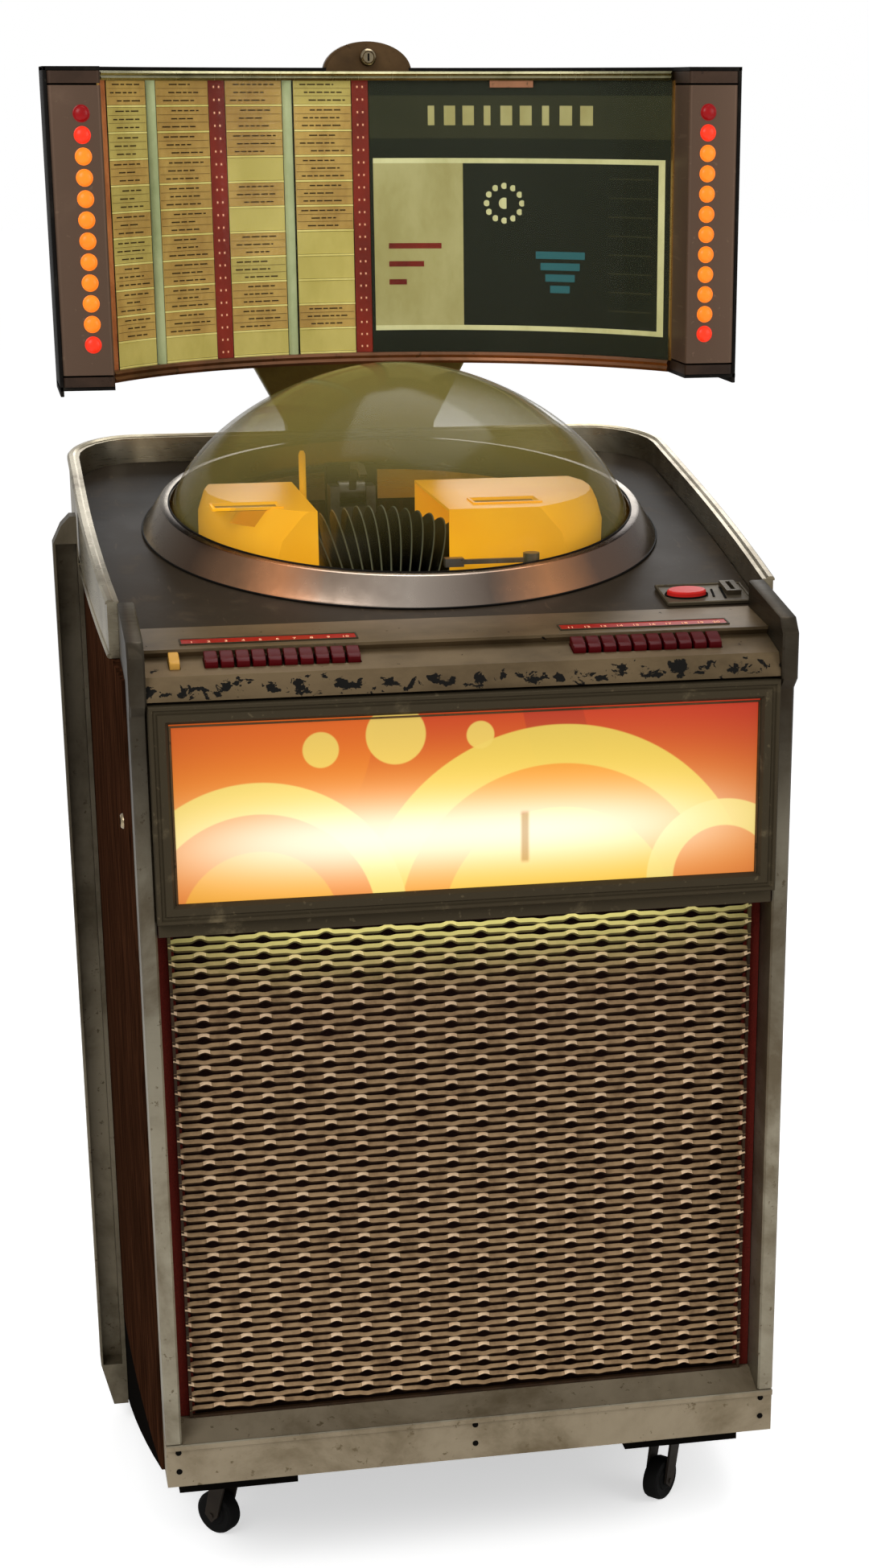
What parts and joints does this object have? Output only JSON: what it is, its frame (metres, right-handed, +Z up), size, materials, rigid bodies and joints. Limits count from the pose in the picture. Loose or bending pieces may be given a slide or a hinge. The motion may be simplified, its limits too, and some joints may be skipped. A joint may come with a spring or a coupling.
{
  "type": "jukebox",
  "caption": "Floor-standing coin-operated record player with a clear dome over its record wheel, a curved title screen, a lit front panel and an expanded-metal speaker grille.",
  "frame": {"origin": "centre of the footprint's bounding box, on the floor", "axes": "+X to the viewer's right, the front faces -Y, +Z up"},
  "size_m": [0.77, 0.777, 1.6139],
  "materials": {
    "walnut": "dark walnut veneer, satin lacquer",
    "aluminium": "satin, tarnished",
    "rim_aluminium": "brushed sheet",
    "kick_metal": "dull, stained",
    "keyboard_metal": "worn metallic paint",
    "grille_bronze": "bronze, satin",
    "baffle_cloth": "board under dark red cloth",
    "zinc": "zinc plated",
    "cover_yellow": "moulded, glossy",
    "tube_white": "fluorescent tube",
    "deck_metal": "dark, polished",
    "ring_metal": "polished bronze tone",
    "dome_clear": "clear acrylic with a warm tint",
    "neck_olive": "gold olive, satin",
    "title_metal": "taupe, satin",
    "title_glass": "printed from behind",
    "frame_pewter": "dark pewter",
    "display_glass": "printed from behind, lit",
    "hardboard": "brown hardboard",
    "record_black": "pressed records in their rack",
    "platter_rubber": "ribbed mat",
    "arm_silver": "polished",
    "lock_chrome": "chrome",
    "reject_red": "glossy",
    "key_amber": "translucent amber",
    "key_maroon": "dark maroon",
    "wheel_rubber": "black tread"
  },
  "bodies": {
    "cabinet": {"cabinet_body": "walnut", "side_fin_left": "aluminium", "side_fin_right": "aluminium", "front_post_left": "aluminium", "front_post_right": "aluminium", "kick_plate": "kick_metal", "keyboard_housing": "keyboard_metal", "speaker_grille": "grille_bronze", "speaker_baffle": "baffle_cloth", "mechanism_plate": "zinc", "cover_left": "cover_yellow", "cover_right": "cover_yellow", "display_tube": "tube_white"},
    "lid": {"deck_panel": "deck_metal", "lid_rim": "rim_aluminium", "dome_ring": "ring_metal", "dome_shell": "dome_clear", "title_neck": "neck_olive", "title_housing": "title_metal", "title_glass": "title_glass", "coin_plate": "keyboard_metal"},
    "display_door": {"display_frame": "frame_pewter", "display_glass": "display_glass"},
    "rear_door": {"rear_door": "hardboard"},
    "record_wheel": {"record_wheel": "record_black"},
    "turntable": {"turntable": "platter_rubber"},
    "tonearm": {"tonearm": "arm_silver"},
    "gripper": {"gripper_arm": "arm_silver"},
    "title_lock": {"title_lock": "lock_chrome"},
    "side_lock": {"side_lock": "lock_chrome"},
    "reject_button": {"reject_button": "reject_red"},
    "amber_key": {"amber_key": "key_amber"},
    "caster_front_left_fork": {"caster_front_left_fork": "zinc"},
    "caster_front_left_wheel": {"caster_front_left_wheel": "wheel_rubber"},
    "caster_front_right_fork": {"caster_front_right_fork": "zinc"},
    "caster_front_right_wheel": {"caster_front_right_wheel": "wheel_rubber"},
    "caster_rear_left_fork": {"caster_rear_left_fork": "zinc"},
    "caster_rear_left_wheel": {"caster_rear_left_wheel": "wheel_rubber"},
    "caster_rear_right_fork": {"caster_rear_right_fork": "zinc"},
    "caster_rear_right_wheel": {"caster_rear_right_wheel": "wheel_rubber"},
    "key_left_01": {"key_left_01": "key_maroon"},
    "key_left_02": {"key_left_02": "key_maroon"},
    "key_left_03": {"key_left_03": "key_maroon"},
    "key_left_04": {"key_left_04": "key_maroon"},
    "key_left_05": {"key_left_05": "key_maroon"},
    "key_left_06": {"key_left_06": "key_maroon"},
    "key_left_07": {"key_left_07": "key_maroon"},
    "key_left_08": {"key_left_08": "key_maroon"},
    "key_left_09": {"key_left_09": "key_maroon"},
    "key_left_10": {"key_left_10": "key_maroon"},
    "key_right_01": {"key_right_01": "key_maroon"},
    "key_right_02": {"key_right_02": "key_maroon"},
    "key_right_03": {"key_right_03": "key_maroon"},
    "key_right_04": {"key_right_04": "key_maroon"},
    "key_right_05": {"key_right_05": "key_maroon"},
    "key_right_06": {"key_right_06": "key_maroon"},
    "key_right_07": {"key_right_07": "key_maroon"},
    "key_right_08": {"key_right_08": "key_maroon"},
    "key_right_09": {"key_right_09": "key_maroon"},
    "key_right_10": {"key_right_10": "key_maroon"}
  },
  "joints": [
    {"name": "lid_hinge", "type": "hinge", "parent": "cabinet", "child": "lid", "pos_m": [0, 0.351, 1.03], "axis": [-1, 0, 0], "range_deg": [0, 50]},
    {"name": "display_hinge", "type": "hinge", "parent": "cabinet", "child": "display_door", "pos_m": [0, -0.3885, 0.781], "axis": [1, 0, 0], "range_deg": [0, 70]},
    {"name": "rear_door_hinge", "type": "hinge", "parent": "cabinet", "child": "rear_door", "pos_m": [-0.268, 0.348, 0.5925], "axis": [0, 0, 1], "range_deg": [0, 110]},
    {"name": "record_wheel_turn", "type": "hinge", "parent": "cabinet", "child": "record_wheel", "pos_m": [-0.043, -0.0115, 0.914], "axis": [0, 1, 0], "continuous": true},
    {"name": "turntable_turn", "type": "hinge", "parent": "cabinet", "child": "turntable", "pos_m": [0.048, -0.1545, 1.046], "axis": [0, 0, 1], "continuous": true},
    {"name": "gripper_swing", "type": "hinge", "parent": "cabinet", "child": "gripper", "pos_m": [-0.043, 0.1385, 1.13], "axis": [-1, 0, 0], "range_deg": [0, 45]},
    {"name": "tonearm_swing", "type": "hinge", "parent": "cabinet", "child": "tonearm", "pos_m": [0.112, -0.1335, 1.089], "axis": [0, 0, 1], "range_deg": [0, 22]},
    {"name": "title_lock_turn", "type": "hinge", "parent": "lid", "child": "title_lock", "pos_m": [0, 0.2395, 1.597], "axis": [0, -1, 0], "range_deg": [0, 90]},
    {"name": "side_lock_turn", "type": "hinge", "parent": "cabinet", "child": "side_lock", "pos_m": [-0.34353, -0.2815, 0.863], "axis": [-1, 0, 0], "range_deg": [0, 90]},
    {"name": "caster_front_left_swivel", "type": "hinge", "parent": "cabinet", "child": "caster_front_left_fork", "pos_m": [-0.257, -0.2205, 0.1], "axis": [0, 0, 1], "continuous": true},
    {"name": "caster_front_left_roll", "type": "hinge", "parent": "caster_front_left_fork", "child": "caster_front_left_wheel", "pos_m": [-0.26973, -0.20777, 0.02519], "axis": [0.7071, 0.7071, 0], "continuous": true},
    {"name": "caster_front_right_swivel", "type": "hinge", "parent": "cabinet", "child": "caster_front_right_fork", "pos_m": [0.257, -0.2205, 0.1], "axis": [0, 0, 1], "continuous": true},
    {"name": "caster_front_right_roll", "type": "hinge", "parent": "caster_front_right_fork", "child": "caster_front_right_wheel", "pos_m": [0.24427, -0.23323, 0.02519], "axis": [-0.7071, 0.7071, 0], "continuous": true},
    {"name": "caster_rear_left_swivel", "type": "hinge", "parent": "cabinet", "child": "caster_rear_left_fork", "pos_m": [-0.257, 0.2235, 0.1], "axis": [0, 0, 1], "continuous": true},
    {"name": "caster_rear_left_roll", "type": "hinge", "parent": "caster_rear_left_fork", "child": "caster_rear_left_wheel", "pos_m": [-0.24427, 0.23623, 0.02519], "axis": [0.7071, -0.7071, 0], "continuous": true},
    {"name": "caster_rear_right_swivel", "type": "hinge", "parent": "cabinet", "child": "caster_rear_right_fork", "pos_m": [0.257, 0.2235, 0.1], "axis": [0, 0, 1], "continuous": true},
    {"name": "caster_rear_right_roll", "type": "hinge", "parent": "caster_rear_right_fork", "child": "caster_rear_right_wheel", "pos_m": [0.24427, 0.23623, 0.02519], "axis": [0.7071, 0.7071, 0], "continuous": true},
    {"name": "reject_press", "type": "slide", "parent": "lid", "child": "reject_button", "axis": [0, 0.1481, -0.989], "range_m": [0, 0.003], "stiffness_N_per_m": 300, "springref_m": -0.001},
    {"name": "amber_key_press", "type": "slide", "parent": "cabinet", "child": "amber_key", "axis": [0, 0.2272, -0.9738], "range_m": [0, 0.003], "stiffness_N_per_m": 300, "springref_m": -0.001},
    {"name": "key_left_01_press", "type": "slide", "parent": "cabinet", "child": "key_left_01", "axis": [0, 0.2272, -0.9738], "range_m": [0, 0.003], "stiffness_N_per_m": 300, "springref_m": -0.001},
    {"name": "key_left_02_press", "type": "slide", "parent": "cabinet", "child": "key_left_02", "axis": [0, 0.2272, -0.9738], "range_m": [0, 0.003], "stiffness_N_per_m": 300, "springref_m": -0.001},
    {"name": "key_left_03_press", "type": "slide", "parent": "cabinet", "child": "key_left_03", "axis": [0, 0.2272, -0.9738], "range_m": [0, 0.003], "stiffness_N_per_m": 300, "springref_m": -0.001},
    {"name": "key_left_04_press", "type": "slide", "parent": "cabinet", "child": "key_left_04", "axis": [0, 0.2272, -0.9738], "range_m": [0, 0.003], "stiffness_N_per_m": 300, "springref_m": -0.001},
    {"name": "key_left_05_press", "type": "slide", "parent": "cabinet", "child": "key_left_05", "axis": [0, 0.2272, -0.9738], "range_m": [0, 0.003], "stiffness_N_per_m": 300, "springref_m": -0.001},
    {"name": "key_left_06_press", "type": "slide", "parent": "cabinet", "child": "key_left_06", "axis": [0, 0.2272, -0.9738], "range_m": [0, 0.003], "stiffness_N_per_m": 300, "springref_m": -0.001},
    {"name": "key_left_07_press", "type": "slide", "parent": "cabinet", "child": "key_left_07", "axis": [0, 0.2272, -0.9738], "range_m": [0, 0.003], "stiffness_N_per_m": 300, "springref_m": -0.001},
    {"name": "key_left_08_press", "type": "slide", "parent": "cabinet", "child": "key_left_08", "axis": [0, 0.2272, -0.9738], "range_m": [0, 0.003], "stiffness_N_per_m": 300, "springref_m": -0.001},
    {"name": "key_left_09_press", "type": "slide", "parent": "cabinet", "child": "key_left_09", "axis": [0, 0.2272, -0.9738], "range_m": [0, 0.003], "stiffness_N_per_m": 300, "springref_m": -0.001},
    {"name": "key_left_10_press", "type": "slide", "parent": "cabinet", "child": "key_left_10", "axis": [0, 0.2272, -0.9738], "range_m": [0, 0.003], "stiffness_N_per_m": 300, "springref_m": -0.001},
    {"name": "key_right_01_press", "type": "slide", "parent": "cabinet", "child": "key_right_01", "axis": [0, 0.2272, -0.9738], "range_m": [0, 0.003], "stiffness_N_per_m": 300, "springref_m": -0.001},
    {"name": "key_right_02_press", "type": "slide", "parent": "cabinet", "child": "key_right_02", "axis": [0, 0.2272, -0.9738], "range_m": [0, 0.003], "stiffness_N_per_m": 300, "springref_m": -0.001},
    {"name": "key_right_03_press", "type": "slide", "parent": "cabinet", "child": "key_right_03", "axis": [0, 0.2272, -0.9738], "range_m": [0, 0.003], "stiffness_N_per_m": 300, "springref_m": -0.001},
    {"name": "key_right_04_press", "type": "slide", "parent": "cabinet", "child": "key_right_04", "axis": [0, 0.2272, -0.9738], "range_m": [0, 0.003], "stiffness_N_per_m": 300, "springref_m": -0.001},
    {"name": "key_right_05_press", "type": "slide", "parent": "cabinet", "child": "key_right_05", "axis": [0, 0.2272, -0.9738], "range_m": [0, 0.003], "stiffness_N_per_m": 300, "springref_m": -0.001},
    {"name": "key_right_06_press", "type": "slide", "parent": "cabinet", "child": "key_right_06", "axis": [0, 0.2272, -0.9738], "range_m": [0, 0.003], "stiffness_N_per_m": 300, "springref_m": -0.001},
    {"name": "key_right_07_press", "type": "slide", "parent": "cabinet", "child": "key_right_07", "axis": [0, 0.2272, -0.9738], "range_m": [0, 0.003], "stiffness_N_per_m": 300, "springref_m": -0.001},
    {"name": "key_right_08_press", "type": "slide", "parent": "cabinet", "child": "key_right_08", "axis": [0, 0.2272, -0.9738], "range_m": [0, 0.003], "stiffness_N_per_m": 300, "springref_m": -0.001},
    {"name": "key_right_09_press", "type": "slide", "parent": "cabinet", "child": "key_right_09", "axis": [0, 0.2272, -0.9738], "range_m": [0, 0.003], "stiffness_N_per_m": 300, "springref_m": -0.001},
    {"name": "key_right_10_press", "type": "slide", "parent": "cabinet", "child": "key_right_10", "axis": [0, 0.2272, -0.9738], "range_m": [0, 0.003], "stiffness_N_per_m": 300, "springref_m": -0.001}
  ]
}
